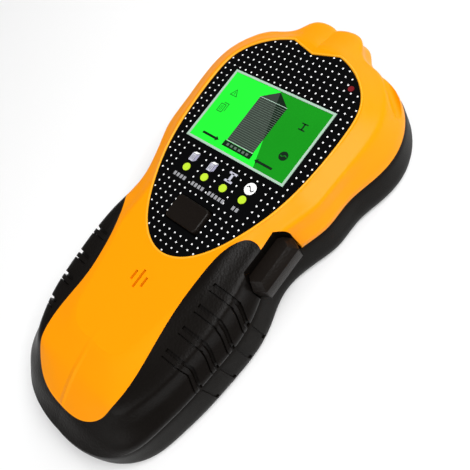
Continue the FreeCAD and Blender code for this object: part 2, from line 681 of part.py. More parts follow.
stem_sketch = body_sketch(mode_button, "stem_sketch")
circle(stem_sketch, "stem", "plunger_radius")
switch_top = "(%s) + switch_tall + plunger_out" % board_face
pad(mode_button, "stem_pad", stem_sketch, "(%s) - (%s) + 0.2" % (cap_foot, switch_top),
    switch_top)
place(mode_button, "0", "mode_centre", "0")

mode_switch = cut("mode_switch", block(
    "mode_switch_case", "switch_side", "switch_side", "switch_tall", "0", "mode_centre",
    board_face), rod("mode_switch_bore", "plunger_radius + plunger_gap", "switch_tall",
                     "0", "mode_centre",
                     board_face + " + switch_tall - plunger_in - press_travel - 0.2"))
mode_plunger = rod("mode_plunger", "plunger_radius", "plunger_in + plunger_out", "0",
                   "mode_centre", board_face + " + switch_tall - plunger_in")

# ---------------------------------------------------------------- scan button
scan_middle = "(scan_head_end + scan_grip_end) / 2"
scan_axis = "%s + switch_tall / 2 + 0.4" % board_face
scan_blank = prism("scan_blank", scan_outline("scan_plan", 0.0, scan_out),
                   "scan_low", "scan_high - scan_low")
doc.recompute()
scan_pad = doc.addObject("Part::Chamfer", "scan_pad")
scan_pad.Base = scan_blank
scan_pad.Edges = [
    (number + 1, *[read("scan_bevel" if edge.BoundBox.ZMin < 20 else "scan_slope")] * 2)
    for number, edge in enumerate(scan_blank.Shape.Edges)
    if edge.BoundBox.ZLength < 0.01 and edge.BoundBox.XMin > scan_in + scan_corner - 0.1]
scan_flange = block("scan_flange", "flange_thick", "11.6", "4.2",
                    "scan_neck_in + flange_thick / 2", scan_middle, "seam_height + 0.4")
scan_stem = rod("scan_stem", "plunger_radius", "scan_inner - scan_stem_in + 0.3",
                "scan_stem_in", scan_middle, scan_axis, TO_RIGHT)
scan_neck = block("scan_neck", "scan_inner - scan_neck_in + 0.4", "7", "3.4",
                  "(scan_inner + scan_neck_in + 0.4) / 2", scan_middle, "seam_height + 0.8")
scan_button = fuse("scan_button", scan_pad, scan_neck, scan_flange, scan_stem)
scan_switch = cut("scan_switch", block(
    "scan_switch_case", "4.4", "switch_side", "switch_tall + 0.8", "scan_switch_face - 2.2", scan_middle,
    board_face), rod("scan_switch_bore", "plunger_radius + plunger_gap",
                     "plunger_in + press_travel + 0.2",
                     "scan_switch_face - plunger_in - press_travel - 0.2", scan_middle, scan_axis,
                     TO_RIGHT))
scan_plunger = rod("scan_plunger", "plunger_radius", "plunger_in + plunger_out",
                   "scan_switch_face - plunger_in", scan_middle, scan_axis, TO_RIGHT)

# ---------------------------------------------------------------- battery and door
cell_middle = "cell_end + cell_length / 2"
cell_head = "cell_end + cell_length"
cell_mid_level = "cell_level + cell_thick / 2"
battery_case = block("battery_case", "cell_width", "cell_length", "cell_thick",
                     y=cell_middle, z="cell_level")
battery = fuse("battery", battery_case, *[
    rod("battery_stud_%d" % (side > 0), "stud_radius", "stud_rise + 1",
        "%.2f" % (side * 6.35), cell_head + " - 1", cell_mid_level, TO_NOSE)
    for side in (-1, 1)])
battery_snap = cut("battery_snap", block(
    "snap_block", "cell_width - 1", "snap_thick", "snap_tall",
    y=cell_head + " + snap_thick / 2 + 0.1", z=cell_mid_level + " - snap_tall / 2"),
    *[rod("snap_socket_%d" % (side > 0), "stud_radius + part_gap", "stud_rise + 0.1",
          "%.2f" % (side * 6.35), cell_head, cell_mid_level, TO_NOSE) for side in (-1, 1)])


def lead(name, side):
    """One battery lead, from the snap up to the underside of the main board."""
    x = side * read("lead_across")
    start_y = read("cell_end") + read("cell_length") + read("snap_thick") + 0.1
    level = read("board_level")
    route = [Vector(x, start_y, 7.0), Vector(x, start_y + 8.0, 7.0),
             Vector(x, start_y + 13.0, 11.0), Vector(x, start_y + 13.0, level)]
    edges, start = [], route[0]
    for before, corner, after in zip(route, route[1:], route[2:]):
        back, ahead = (before - corner), (after - corner)
        trim = 0.45 * min(back.Length, ahead.Length)
        turn = back.negative().getAngle(ahead)
        radius = trim / math.tan(turn / 2)
        print(name, "bend radius", round(radius, 1))
        enter = corner + back.normalize() * trim
        leave = corner + ahead.normalize() * trim
        bisector = (back + ahead).normalize()
        middle = corner + bisector * ((radius ** 2 + trim ** 2) ** 0.5 - radius)
        edges += [Part.makeLine(start, enter), Part.Arc(enter, middle, leave).toShape()]
        start = leave
    edges.append(Part.makeLine(start, route[-1]))
    path = Part.Wire(edges)
    ring_edge = Part.makeCircle(read("lead_radius"), route[0], route[1] - route[0])
    item = doc.addObject("Part::Feature", name)
    item.Shape = path.makePipeShell([Part.Wire([ring_edge])], True, False)
    straight = math.pi * read("lead_radius") ** 2 * path.Length
    print(name, "volume", round(item.Shape.Volume, 2), "of", round(straight, 2))
    return item


lead_positive = lead("lead_positive", 1)
lead_negative = lead("lead_negative", -1)

door_middle = "(door_head_end + door_hinge_end) / 2"
door_plate = block("door_plate", "door_width", "door_head_end - door_hinge_end",
                   "door_thick", y=door_middle, z="door_sink")
door_tabs = []
for side in (-1, 1):
    spot = "%d * 8.0" % side
    door_tabs += [
        block("tab_riser_%d" % (side > 0), "tab_width", "1.4", "2.6",
              spot, "door_hinge_end + 0.7 + door_gap", "door_sink + door_thick - 0.6"),
        block("tab_hook_%d" % (side > 0), "tab_width", "tab_out + 0.6", "1.4",
              spot, "door_hinge_end + door_gap - tab_out / 2 + 0.3", "wall + 0.25")]
door_latch = block("door_latch", "9", "1.2", "3.0", "0", "door_head_end - 1.8",
                   "door_sink + door_thick - 0.5")
battery_door = fuse("battery_door", door_plate, door_latch, *door_tabs)
battery_pad = block("battery_pad", "cell_width - 6", "cell_length - 12", "pad_thick",
                    y=cell_middle, z="door_sink + door_thick")


# ---------------------------------------------------------------- screws
def screw(name, radius, head_radius, head_tall, length, x, y, z):
    """A pan-head screw, head down, with a cross recess in its head."""
    head = rod(name + "_head", head_radius, head_tall, x, y, z)
    shank = rod(name + "_shank", radius, "(%s) + (%s)" % (length, head_tall), x, y, z)
    slots_made = [block("%s_slot_%d" % (name, turned), ("0.6", "%s * 1.2" % head_radius)[turned],
                        ("%s * 1.2" % head_radius, "0.6")[turned], "0.7", x, y, z)
                  for turned in (0, 1)]
    return cut(name, fuse(name + "_blank", head, shank), *slots_made)


case_screws = group("case_screws", *at(screw_places, lambda n, x, y: screw(
    "case_screw_%d" % n, "screw_radius", "screw_head_radius", "screw_head_tall",
    "screw_length - screw_head_tall", x, y, "screw_sink - screw_head_tall")))
board_screws = group("board_screws", *at(post_places, lambda n, x, y: screw(
    "board_screw_%d" % n, "small_screw_radius", "small_screw_radius * 1.9", "1.2",
    "small_screw_length", x, y, "board_level - 1.2")))

doc.recompute()

NODES = [
    top_shell, grip_surround, bottom_shell, label_plate, display_bezel, display_window,
    display_gasket, lcd_panel, backlight_guide, display_holder, connector_strip, main_board,
    controller_chip, amplifier_chip, sensor_board, sensor_plates, detection_coil,
    board_header, mode_lamps, alert_lamp, sounder, mode_button, mode_switch, mode_plunger,
    scan_button, scan_switch, scan_plunger, battery, battery_snap, lead_positive,
    lead_negative, battery_door, battery_pad, case_screws, board_screws,
]
failed = [item.Name for item in doc.Objects
          if "Invalid" in item.State or "Error" in item.State]
for node in NODES:
    if node.Shape.isNull() or not node.Shape.isValid():
        failed.append(node.Name)
if failed:
    raise RuntimeError("these did not build: " + ", ".join(sorted(set(failed))))
os.makedirs("parts", exist_ok=True)
for node in NODES:
    node.Label = node.Name
    node.Shape.exportStep("parts/%s.step" % node.Label)
    print(node.Label, len(node.Shape.Solids), round(node.Shape.Volume, 1))
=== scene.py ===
import math

import bpy
from bpy.props import FloatProperty, FloatVectorProperty, IntProperty, PointerProperty
from mathutils import Matrix, Vector


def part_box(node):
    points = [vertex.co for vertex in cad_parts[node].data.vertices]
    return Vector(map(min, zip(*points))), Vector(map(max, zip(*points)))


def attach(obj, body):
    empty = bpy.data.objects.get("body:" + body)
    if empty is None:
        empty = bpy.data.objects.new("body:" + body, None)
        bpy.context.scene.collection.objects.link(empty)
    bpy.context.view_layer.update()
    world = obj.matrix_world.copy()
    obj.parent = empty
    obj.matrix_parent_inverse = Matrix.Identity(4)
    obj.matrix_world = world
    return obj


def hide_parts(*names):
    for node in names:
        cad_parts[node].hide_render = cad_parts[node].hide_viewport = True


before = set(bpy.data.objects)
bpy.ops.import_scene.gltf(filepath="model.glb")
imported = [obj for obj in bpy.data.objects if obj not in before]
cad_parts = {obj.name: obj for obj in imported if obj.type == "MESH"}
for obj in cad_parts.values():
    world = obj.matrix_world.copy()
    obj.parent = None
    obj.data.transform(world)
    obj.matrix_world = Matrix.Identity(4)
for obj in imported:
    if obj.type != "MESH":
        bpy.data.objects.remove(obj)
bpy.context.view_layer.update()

bl_info = {
    "name": "Stud finder looks",
    "version": (1, 0, 0),
    "blender": (4, 5, 0),
    "location": "3D View > Sidebar > Stud finder",
    "description": "Finishes, face graphics, studio and camera of a hand-held stud finder",
    "category": "Object",
}

MM = 0.001
LABEL_LOW, LABEL_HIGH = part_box("label_plate")
WINDOW_LOW, WINDOW_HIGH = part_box("display_window")
LAMPS_LOW, LAMPS_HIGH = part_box("mode_lamps")
MODE_LOW, MODE_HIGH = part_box("mode_button")
SCAN_LOW, SCAN_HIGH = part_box("scan_button")
FACE = LABEL_HIGH.z
SCREEN = WINDOW_HIGH.z
SCREEN_MIDDLE = (WINDOW_LOW + WINDOW_HIGH) / 2
LAMP_ROW = (LAMPS_LOW.y + LAMPS_HIGH.y) / 2
INK = 0.02 * MM                       # height of one coat of print above the last
LAMP_STEPS = (-1.5, -0.5, 0.5, 1.5)   # lamps from the middle, in lamp pitches
CAPTION_BARS = (4, 4, 5, 2)           # bars under each lamp
PRINT_CLEAR = 3.1 * MM                # no dots this near a pictogram's middle line,
PRINT_BELOW = 5.4 * MM                # from this far below the lamps
PRINT_ABOVE = 6.9 * MM                # to this far above them
TOWER_WIDE, TOWER_TALL = 11.6 * MM, 18.5 * MM
CREASE_END, CREASE_START = -60 * MM, -44 * MM
CREASE_HALF = 1.3 * MM
FLOOR_SIDE, FLOOR_DROP = 6, 0.0002
WORLD_LIGHT = 0.16
LIGHT_SIDE = 0.6
LIGHTS = (("key", (0.45, 0.25, 0.85), 10.2),
          ("fill", (0.10, -0.75, 0.55), 2.6),
          ("head", (-0.10, 0.80, 0.50), 2.0))
LIGHT_AIM = Vector((0, 0, 0.015))
SENSOR, LENS = 36.0, 45.96
CAMERA_PLACE = Matrix((
    (0.7167, -0.4646, 0.5202, 0.1126),
    (0.5987, 0.7924, -0.1171, -0.01905),
    (-0.3578, 0.3953, 0.8460, 0.1830),
    (0, 0, 0, 1)))


# ------------------------------------------------------------------ shader maths
class Value:
    """A number that varies over a surface; arithmetic on it adds Math nodes."""

    def __init__(self, finish, socket):
        self.finish, self.socket = finish, socket

    def maths(self, operation, *values):
        node = self.finish.node("ShaderNodeMath", {"operation": operation}, *values)
        return Value(self.finish, node.outputs[0])

    def __add__(self, other):
        return self.maths("ADD", self, other)

    def __sub__(self, other):
        return self.maths("SUBTRACT", self, other)

    def __rsub__(self, other):
        return self.maths("SUBTRACT", other, self)

    def __mul__(self, other):
        return self.maths("MULTIPLY", self, other)

    def clipped(self, low, high):
        """0 at low, 1 at high, and straight between them."""
        node = self.finish.node("ShaderNodeMapRange", {}, self, low, high, 0.0, 1.0)
        return Value(self.finish, node.outputs[0])

    __radd__ = __add__
    __rmul__ = __mul__


class Finish:
    """One material: a Principled shader, and one method that adds any other node."""

    def __init__(self, name, **constants):
        self.material = bpy.data.materials.new(name)
        self.material.use_nodes = True
        self.tree = self.material.node_tree
        self.shader = self.tree.nodes["Principled BSDF"]
        for socket, value in constants.items():
            self.shader.inputs[socket.replace("_", " ")].default_value = value
        self.place = self.node("ShaderNodeTexCoord").outputs["Object"]

    def node(self, kind, settings=None, *values, **named):
        node = self.tree.nodes.new(kind)
        for setting, value in (settings or {}).items():
            if setting == "stops":
                for stop, (place, colour) in zip(node.color_ramp.elements, value):
                    stop.position, stop.color = place, (*colour, 1)
            else:
                setattr(node, setting, value)
        for slot, value in [*enumerate(values), *named.items()]:
            self.feed(node.inputs[slot.replace("_", " ") if isinstance(slot, str) else slot],
                      value)
        return node

    def feed(self, socket, value):
        if isinstance(value, Value):
            value = value.socket
        if isinstance(value, bpy.types.NodeSocket):
            self.tree.links.new(value, socket)
        else:
            socket.default_value = value

    def noise(self, scale, detail=2.0):
        made = self.node("ShaderNodeTexNoise", {}, Vector=self.place, Scale=scale, Detail=detail)
        return Value(self, made.outputs[0])

    def cells(self, scale):
        made = self.node("ShaderNodeTexVoronoi", {}, Vector=self.place, Scale=scale)
        return Value(self, made.outputs[0])

    def blend(self, share, low, high):
        made = self.node("ShaderNodeMix", {"data_type": "RGBA"}, Factor=share)
        self.feed(made.inputs[6], (*low, 1))
        self.feed(made.inputs[7], (*high, 1))
        return made.outputs[2]

    def bump(self, height, strength, distance=0.0002):
        made = self.node("ShaderNodeBump", {}, Height=height, Strength=strength,
                         Distance=distance)
        self.feed(self.shader.inputs["Normal"], made.outputs[0])

    def colour(self, value):
        self.feed(self.shader.inputs["Base Color"], value)

    def roughness(self, value):
        self.feed(self.shader.inputs["Roughness"], value)


def moulded(name, low, high, rough, grain=2700.0, strength=0.25, **constants):
    """Moulded plastic: slow colour drift, fine spark-eroded grain."""
    finish = Finish(name, **constants)
    drift = finish.noise(38.0, 3.0)
    grains = finish.noise(grain, 2.0)
    finish.colour(finish.blend(drift, low, high))
    finish.roughness(drift * 0.10 + grains * 0.06 + (rough - 0.08))
    finish.bump(grains, strength)
    return finish.material


def rubbery(name, low, high, rough, grain=1400.0, **constants):
    """Soft rubber: stippled, its colour a little lighter on the raised parts of the stipple."""
    finish = Finish(name, **constants)
    stipple = finish.cells(grain)
    drift = finish.noise(60.0, 4.0)
    finish.colour(finish.blend(drift * 0.7 + stipple * 0.3, low, high))
    finish.roughness(drift * 0.14 + (rough - 0.07))
    finish.bump(stipple, 0.22)
    return finish.material


def metal(name, low, high, rough, grain=260.0):
    finish = Finish(name, Metallic=1.0)
    scratch = finish.noise(grain, 6.0)
    finish.colour(finish.blend(scratch, low, high))
    finish.roughness(scratch * 0.25 + (rough - 0.12))
    finish.bump(scratch, 0.12)
    return finish.material


def lit(name, low, high, strength, rough=0.18, scale=90.0):
    """A surface lit from behind: the colour glows as well as reflects."""
    finish = Finish(name, Emission_Strength=strength, Coat_Weight=0.4, Coat_Roughness=0.08)
    drift = finish.noise(scale, 2.0)
    colour = finish.blend(drift, low, high)
    finish.colour(colour)
    finish.feed(finish.shader.inputs["Emission Color"], colour)
    finish.roughness(drift * 0.06 + rough)
    return finish.material


def orange_plastic(name, colour):
    """Satin orange shell, with a faint crease down the middle of the tongue."""
    finish = Finish(name, Coat_Weight=0.03, Coat_Roughness=0.22, Specular_IOR_Level=0.09)
    drift = finish.noise(38.0, 3.0)
    grains = finish.noise(2600.0, 2.0)
    finish.colour(finish.blend(drift, colour, tuple(part * 0.95 for part in colour)))
    finish.roughness(drift * 0.10 + grains * 0.06 + 0.30)
    parts = finish.node("ShaderNodeSeparateXYZ", {}, finish.place)
    across = Value(finish, parts.outputs[0]).maths("ABSOLUTE", parts.outputs[0])
    along = Value(finish, parts.outputs[1])
    ridge = (1.0 - across.clipped(0.0, CREASE_HALF)) * (
        1.0 - along.clipped(CREASE_END, CREASE_START))
    finish.bump(ridge + grains * 0.02, 0.55, 0.0006)
    return finish.material


FINISHES = {}


def make_finishes(orange):
    FINISHES.update({
        "orange": orange_plastic("orange_abs", orange),
        # A lighter orange than the shell: a painted highlight along the lip.
        "lip": moulded("lip_painted_highlight", (1.0, 0.43, 0.015), (1.0, 0.40, 0.012), 0.3,
                       strength=0.05, Specular_IOR_Level=0.25),
        "black": moulded("black_abs", (0.0040, 0.0032, 0.0025), (0.0065, 0.0055, 0.0045), 0.40,
                         Specular_IOR_Level=0.035),
        "grip": rubbery("grip_rubber", (0.004, 0.0032, 0.0026), (0.007, 0.0056, 0.0048), 0.36,
                        Specular_IOR_Level=0.085),
        "button": rubbery("button_rubber", (0.006, 0.0042, 0.0032), (0.010, 0.0075, 0.006),
                          0.34, Specular_IOR_Level=0.12),
        "label": moulded("label_film", (0.0012, 0.0012, 0.0014), (0.002, 0.002, 0.0024),
                         0.26, grain=1500.0, strength=0.04, Specular_IOR_Level=0.10),
        "white_ink": moulded("white_ink", (0.86, 0.87, 0.87), (0.97, 0.97, 0.97), 0.5,
                             strength=0.05),
        "grey_ink": moulded("grey_ink", (0.46, 0.46, 0.54), (0.56, 0.56, 0.66), 0.5,
                            strength=0.05),
        "violet_ink": moulded("violet_ink", (0.30, 0.29, 0.40), (0.38, 0.37, 0.50), 0.5,
                              strength=0.05),
        "caption_ink": moulded("caption_ink", (0.26, 0.26, 0.28), (0.34, 0.34, 0.36), 0.5,
                               strength=0.05),
        "bezel": moulded("bezel_plastic", (0.36, 0.52, 0.41), (0.42, 0.58, 0.47), 0.3,
                         strength=0.06, Specular_IOR_Level=0.2),
        # The display's two greens are glare-lit and shaded copies of one LCD green: a painted
        # glare and a painted shade.
        "screen_glare_green": lit("screen_glare_green", (0.010, 0.80, 0.028), (0.012, 0.86, 0.034), 0.08),
        "screen_shade_green": lit("screen_shade_green", (0.0008, 0.245, 0.003), (0.0012, 0.275, 0.004), 0.06),
        "lcd_ink": moulded("lcd_ink", (0.002, 0.012, 0.004), (0.004, 0.020, 0.007), 0.5,
                           strength=0.03, Specular_IOR_Level=0.15),
        "lcd_faint": lit("lcd_faint", (0.003, 0.17, 0.010), (0.005, 0.20, 0.014), 0.04),
        # The tower's two colours are glare-lit and shaded copies of one colour: a painted glare
        # and a painted shade.
        "tower_glare": moulded("tower_glare", (0.030, 0.040, 0.032), (0.038, 0.050, 0.040),
                               0.5, strength=0.03, Specular_IOR_Level=0.15),
        "tower_shade": moulded("tower_shade", (0.0025, 0.010, 0.004), (0.004, 0.014, 0.006),
                              0.5, strength=0.03, Specular_IOR_Level=0.15),
        "tower_line": lit("tower_line", (0.10, 0.145, 0.11), (0.13, 0.18, 0.14), 0.04),
        "lamp_on": lit("lamp_on", (0.44, 0.66, 0.020), (0.52, 0.75, 0.035), 0.12),
        "lamp_red": lit("lamp_red", (0.15, 0.004, 0.008), (0.20, 0.006, 0.012), 0.06),
        "board": moulded("board_mask", (0.01, 0.10, 0.03), (0.02, 0.15, 0.05), 0.3),
        "foam": rubbery("foam_grey", (0.03, 0.03, 0.03), (0.06, 0.06, 0.06), 0.8, 700.0),
        "pale": moulded("pale_plastic", (0.62, 0.62, 0.56), (0.72, 0.72, 0.66), 0.45),
        "chip": moulded("chip_epoxy", (0.012, 0.012, 0.012), (0.02, 0.02, 0.02), 0.5),
        "copper": metal("copper", (0.70, 0.30, 0.16), (0.88, 0.46, 0.28), 0.32),
        "steel": metal("zinc_steel", (0.42, 0.42, 0.43), (0.62, 0.62, 0.63), 0.36),
        "jacket": moulded("battery_jacket", (0.02, 0.02, 0.03), (0.04, 0.04, 0.055), 0.25),
        "lead_red": rubbery("lead_red", (0.35, 0.01, 0.01), (0.45, 0.02, 0.02), 0.4),
        "lead_black": rubbery("lead_black", (0.01, 0.01, 0.01), (0.02, 0.02, 0.02), 0.4),
        "glass": moulded("clear_panel", (0.10, 0.45, 0.16), (0.12, 0.50, 0.18), 0.1,
                         strength=0.02),
    })


NODE_FINISH = {
    "top_shell": "orange", "grip_surround": "grip", "bottom_shell": "black",
    "label_plate": "label", "display_bezel": "bezel", "display_window": "glass",
    "display_gasket": "foam", "lcd_panel": "glass", "backlight_guide": "pale",
    "display_holder": "pale", "connector_strip": "foam", "main_board": "board",
    "controller_chip": "chip", "amplifier_chip": "chip", "sensor_board": "board",
    "sensor_plates": "copper", "detection_coil": "copper", "board_header": "copper",
    "mode_lamps": "lamp_on", "alert_lamp": "lamp_red", "sounder": "chip",
    "mode_button": "button", "mode_switch": "chip", "mode_plunger": "pale",
    "scan_button": "button", "scan_switch": "chip", "scan_plunger": "pale",
    "battery": "jacket", "battery_snap": "chip", "lead_positive": "lead_red",
    "lead_negative": "lead_black", "battery_door": "black", "battery_pad": "foam",
    "case_screws": "steel", "board_screws": "steel",
}


# ------------------------------------------------------------------ modelling helpers
def clear_selection():
    if bpy.context.object and bpy.context.object.mode != "OBJECT":
        bpy.ops.object.mode_set(mode="OBJECT")
    bpy.ops.object.select_all(action="DESELECT")


def choose(*objects):
    """Select these objects only, the first as the active one."""
    clear_selection()
    for item in objects:
        item.select_set(True)
    bpy.context.view_layer.objects.active = objects[0]
    return objects[0]


def settle(name, finish=None):
    """Name the active object, fix its place in its mesh and give it its finish."""
    bpy.ops.object.transform_apply(location=True, rotation=True, scale=True)
    item = bpy.context.object
    item.name = item.data.name = name
    if finish:
        item.data.materials.clear()
        item.data.materials.append(FINISHES[finish])
    return item


def plate(name, finish, wide, deep, x, y, z):
    """A flat rectangle of printed ink, facing up."""
    clear_selection()
    bpy.ops.mesh.primitive_plane_add(size=1, location=(x, y, z))
    bpy.context.object.scale = (wide, deep, 1)
    return settle(name, finish)


def disc(name, finish, radius, x, y, z, sides=24):
    clear_selection()
    bpy.ops.mesh.primitive_circle_add(vertices=sides, radius=radius, fill_type="NGON",
                                      location=(x, y, z))
    return settle(name, finish)


def joined(name, *pieces):
    """Pieces joined into one, each keeping its own finish."""
    choose(*pieces)
    bpy.ops.object.join()
    item = bpy.context.object
    item.name = item.data.name = name
    return item


def raised(item, height=INK):
    """Give a flat piece a thickness, so that it is a closed solid."""
    choose(item)
    bpy.ops.object.mode_set(mode="EDIT")
    bpy.ops.mesh.select_all(action="SELECT")
    bpy.ops.mesh.extrude_region_move(TRANSFORM_OT_translate={"value": (0, 0, height)})
    bpy.ops.mesh.select_all(action="SELECT")
    bpy.ops.mesh.normals_make_consistent(inside=False)
    bpy.ops.object.mode_set(mode="OBJECT")
    return item


def arrayed(item, count, step):
    """Repeat a piece along a step."""
    choose(item)
    array = item.modifiers.new("row", "ARRAY")
    array.use_relative_offset = False
    array.use_constant_offset = True
    array.constant_offset_displace = step
    array.count = count
    bpy.ops.object.modifier_apply(modifier="row")
    return item


def corner_polygon(name, finish, corners, z):
    """A flat piece with a few corners: a disc of that many sides, its corners moved."""
    item = disc(name, finish, MM, 0, 0, z, sides=len(corners))
    for vertex, (x, y) in zip(item.data.vertices, corners):
        vertex.co.x, vertex.co.y = x, y
    choose(item)
    bpy.ops.object.mode_set(mode="EDIT")
    bpy.ops.mesh.select_all(action="SELECT")
    bpy.ops.mesh.normals_make_consistent(inside=False)
    bpy.ops.object.mode_set(mode="OBJECT")
    if item.data.polygons[0].normal.z < 0:
        item.data.flip_normals()
    return item


def on_case(item):
    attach(item, "case")
    return item


# ------------------------------------------------------------------ settings
class StudFinderSizes(bpy.types.PropertyGroup):
    orange: FloatVectorProperty(
        name="Shell colour", description="Colour of the upper shell", size=3, subtype="COLOR",
        default=(1.0, 0.325, 0.0008))
    dot_pitch_x: FloatProperty(
        name="Dot pitch across", description="Distance between columns of dots on the label",
        default=2.62 * MM, unit="LENGTH")
    dot_pitch_y: FloatProperty(
        name="Dot pitch along", description="Distance between rows of dots on the label",
        default=2.30 * MM, unit="LENGTH")
    dot_radius: FloatProperty(
        name="Dot radius", description="Radius of one printed dot", default=0.31 * MM,
        unit="LENGTH")
    tower_lines: IntProperty(
        name="Tower lines", description="Lines across the level tower on the display",
        default=24, min=1)
    lamp_pitch: FloatProperty(
        name="Lamp pitch", description="Distance between the mode lamps", default=8.46 * MM,
        unit="LENGTH")


def sizes():
    return bpy.context.scene.stud_finder_sizes


class FinishesOperator(bpy.types.Operator):
    """Give every part of the case and its inside a finish"""
    bl_idname = "stud_finder.finishes"
    bl_label = "Finishes"

    def execute(self, context):
        make_finishes(tuple(sizes().orange))
        for node, finish in NODE_FINISH.items():
            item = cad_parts[node]
            item.data.materials.clear()
            item.data.materials.append(FINISHES[finish])
        return {"FINISHED"}


def node_copy(name):
    """A CAD node's mesh as a new piece with its loose triangles merged."""
    choose(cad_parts[name])
    bpy.ops.object.duplicate()
    item = bpy.context.object
    bpy.ops.object.mode_set(mode="EDIT")
    bpy.ops.mesh.select_mode(type="FACE")
    bpy.ops.mesh.select_all(action="SELECT")
    bpy.ops.mesh.remove_doubles(threshold=0.002 * MM)
    bpy.ops.mesh.dissolve_limited(angle_limit=math.radians(0.3))
    bpy.ops.mesh.select_all(action="DESELECT")
    bpy.ops.object.mode_set(mode="OBJECT")
    return item


class ButtonsOperator(bpy.types.Operator):
    """Round the scan button's edges and line both button wells in black, as painted shade in the
    gaps
    """
    bl_idname = "stud_finder.buttons"
    bl_label = "Buttons"

    def execute(self, context):
        pad = node_copy("scan_button")
        bpy.ops.object.mode_set(mode="EDIT")
        bpy.ops.mesh.select_mode(type="EDGE")
        bpy.ops.object.mode_set(mode="OBJECT")
        inner = SCAN_LOW.x + 4.2 * MM
        for edge in pad.data.edges:
            edge.select = all(pad.data.vertices[end].co.x > inner for end in edge.vertices)
        bpy.ops.object.mode_set(mode="EDIT")
        bpy.ops.mesh.bevel(offset=0.75 * MM, segments=3, clamp_overlap=True)
        bpy.ops.object.mode_set(mode="OBJECT")
        bpy.ops.object.shade_smooth_by_angle(angle=math.radians(40))
        pad = settle("scan_pad", "button")
        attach(pad, "scan_button")
        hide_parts("scan_button")
        self.line_well_shade("scan_well_shade", Vector((SCAN_LOW.x + 2.5 * MM, SCAN_LOW.y - 1.3 * MM, SCAN_LOW.z)),
                  SCAN_HIGH + Vector((1, 0.2, 6)) * MM)
        self.line_well_shade("mode_well_shade", MODE_LOW - Vector((1, 1, 0)) * MM,
                  MODE_HIGH + Vector((1, 1, 0)) * MM)
        return {"FINISHED"}

    def line_well_shade(self, name, low, high):
        """A thin black lining on the upright walls of a hole in the upper shell, as painted shade
        in the gap.
        """
        lining = node_copy("top_shell")
        middle = (low + high) / 2
        for face in lining.data.polygons:
            centre = face.center
            inside = all(low[axis] < centre[axis] < high[axis] for axis in range(3))
            upright = abs(face.normal.z) < 0.02
            face.select = not (inside and upright and (middle - centre).dot(face.normal) > 0)
        bpy.ops.object.mode_set(mode="EDIT")
        bpy.ops.mesh.delete(type="FACE")
        bpy.ops.object.mode_set(mode="OBJECT")
        # A black sheet on walls that are orange: painted shade in the gap round the button.
        wall = lining.modifiers.new("wall", "SOLIDIFY")
        wall.thickness, wall.offset = 0.06 * MM, 1
        bpy.ops.object.modifier_apply(modifier="wall")
        on_case(settle(name, "black"))


class DotsOperator(bpy.types.Operator):
    """Print the lattice of white dots on the face label"""
    bl_idname = "stud_finder.dots"
    bl_label = "Label dots"

    def execute(self, context):
        pitch_x, pitch_y = sizes().dot_pitch_x, sizes().dot_pitch_y
        columns = 2 * int((LABEL_HIGH.x - LABEL_LOW.x) / pitch_x / 2) + 3
        rows = int((LABEL_HIGH.y - LABEL_LOW.y) / pitch_y) + 2
        start_x = -(columns - 1) / 2 * pitch_x
        dots = disc("label_dots", "white_ink", sizes().dot_radius, start_x,
                    LABEL_LOW.y + 0.6 * MM, FACE + INK, sides=10)
        arrayed(dots, columns, (pitch_x, 0, 0))
        arrayed(dots, rows, (0, pitch_y, 0))
        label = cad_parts["label_plate"]
        margin = sizes().dot_radius + 0.12 * MM
        choose(dots)
        bpy.ops.object.mode_set(mode="EDIT")
        bpy.ops.mesh.select_mode(type="FACE")
        bpy.ops.mesh.select_all(action="DESELECT")
        bpy.ops.object.mode_set(mode="OBJECT")
        for face in dots.data.polygons:
            face.select = not self.fits(label, face.center.copy(), margin)
        bpy.ops.object.mode_set(mode="EDIT")
        bpy.ops.mesh.delete(type="FACE")
        bpy.ops.object.mode_set(mode="OBJECT")
        on_case(dots)
        return {"FINISHED"}

    def fits(self, label, centre, margin):
        """True if the dot lies whole on the label, clear of the pictograms."""
        pitch = sizes().lamp_pitch
        beside = min(abs(centre.x - step * pitch) for step in LAMP_STEPS)
        if -PRINT_BELOW < centre.y - LAMP_ROW < PRINT_ABOVE and beside < PRINT_CLEAR:
            return False
        for x, y in ((1, 1), (1, -1), (-1, 1), (-1, -1)):
            start = centre + Vector((x * margin, y * margin, 0.01))
            hit, place, *_ = label.ray_cast(start, Vector((0, 0, -1)))
            if not hit or place.z < FACE - 0.1 * MM:
                return False
        return True


